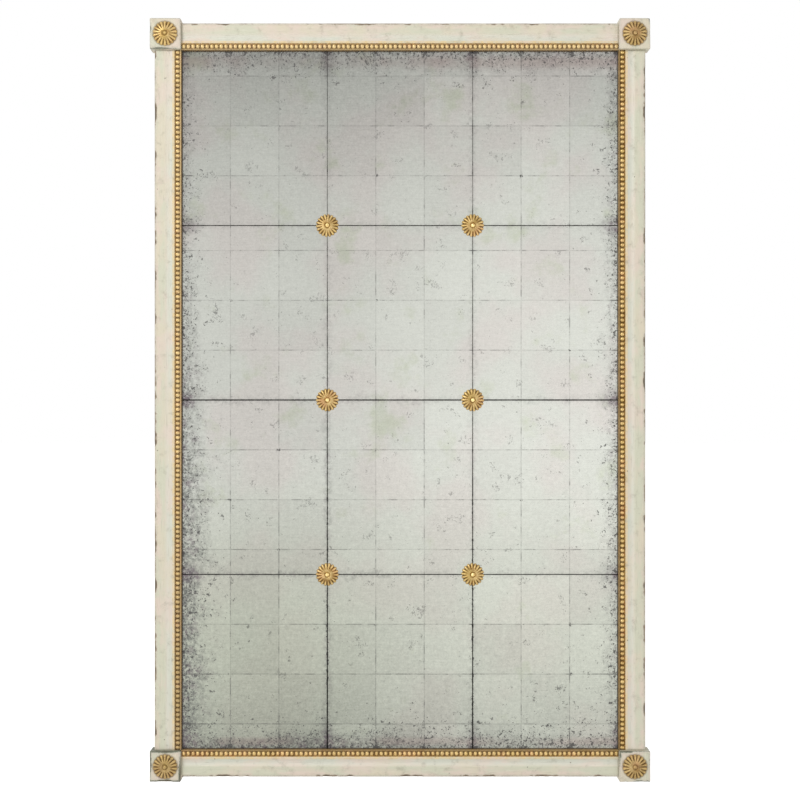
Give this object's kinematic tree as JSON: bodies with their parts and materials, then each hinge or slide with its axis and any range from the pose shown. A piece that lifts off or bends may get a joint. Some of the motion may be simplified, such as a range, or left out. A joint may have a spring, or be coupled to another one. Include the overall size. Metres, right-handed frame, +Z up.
{
  "type": "wall mirror",
  "caption": "Tall rectangular wall mirror of antiqued butted panes in a cream painted wooden frame with gilt bead strips, square corner blocks and rosettes, hung on hooked hangers.",
  "frame": {"origin": "middle of the wall hangers' screw holes, on the wall's face", "axes": "+X to the viewer's right, +Y into the wall, +Z up"},
  "size_m": [0.936, 0.0544, 1.428],
  "materials": {
    "cream_paint": "worn cream paint on wood",
    "gilt": "worn gold leaf over red-brown bole on carved wood",
    "mirror_glass": "mirror glass backed with antiqued silver leaf",
    "brass": "rubbed brass",
    "plywood": "raw birch plywood",
    "beech": "raw beech",
    "mastic": "matte mirror mastic",
    "setting_rubber": "matte",
    "zinc_steel": "zinc plated",
    "hanger_aluminium": "extruded, mill finish",
    "felt": "dense felt"
  },
  "bodies": {
    "wall_hangers": {"wall_hanger_left": "hanger_aluminium", "wall_hanger_right": "hanger_aluminium"},
    "mirror": {"backing_panel": "plywood", "bead_strip_bottom": "gilt", "bead_strip_left": "gilt", "bead_strip_right": "gilt", "bead_strip_top": "gilt", "bottom_rail": "cream_paint", "corner_block_bottom_left": "cream_paint", "corner_block_bottom_right": "cream_paint", "corner_block_top_left": "cream_paint", "corner_block_top_right": "cream_paint", "corner_brace_bottom_left": "zinc_steel", "corner_brace_bottom_right": "zinc_steel", "corner_brace_screws": "zinc_steel", "corner_brace_top_left": "zinc_steel", "corner_brace_top_right": "zinc_steel", "corner_dowels": "beech", "corner_rosette_bottom_left": "gilt", "corner_rosette_bottom_right": "gilt", "corner_rosette_top_left": "gilt", "corner_rosette_top_right": "gilt", "frame_hanger_left": "hanger_aluminium", "frame_hanger_right": "hanger_aluminium", "frame_hanger_screws": "zinc_steel", "left_stile": "cream_paint", "mastic_ribs": "mastic", "pane_rosette_1_1": "gilt", "pane_rosette_1_2": "gilt", "pane_rosette_2_1": "gilt", "pane_rosette_2_2": "gilt", "pane_rosette_3_1": "gilt", "pane_rosette_3_2": "gilt", "pane_row_1_column_1": "mirror_glass", "pane_row_1_column_2": "mirror_glass", "pane_row_1_column_3": "mirror_glass", "pane_row_2_column_1": "mirror_glass", "pane_row_2_column_2": "mirror_glass", "pane_row_2_column_3": "mirror_glass", "pane_row_3_column_1": "mirror_glass", "pane_row_3_column_2": "mirror_glass", "pane_row_3_column_3": "mirror_glass", "pane_row_4_column_1": "mirror_glass", "pane_row_4_column_2": "mirror_glass", "pane_row_4_column_3": "mirror_glass", "panel_clip_screws": "zinc_steel", "panel_clips": "zinc_steel", "right_stile": "cream_paint", "rosette_pegs": "beech", "rosette_screws": "brass", "setting_blocks": "setting_rubber", "top_rail": "cream_paint", "wall_bumpers": "felt"}
  },
  "joints": [
    {"name": "mirror_lift", "type": "slide", "parent": "wall_hangers", "child": "mirror", "axis": [0, 0, 1], "range_m": [0, 0.015]}
  ]
}
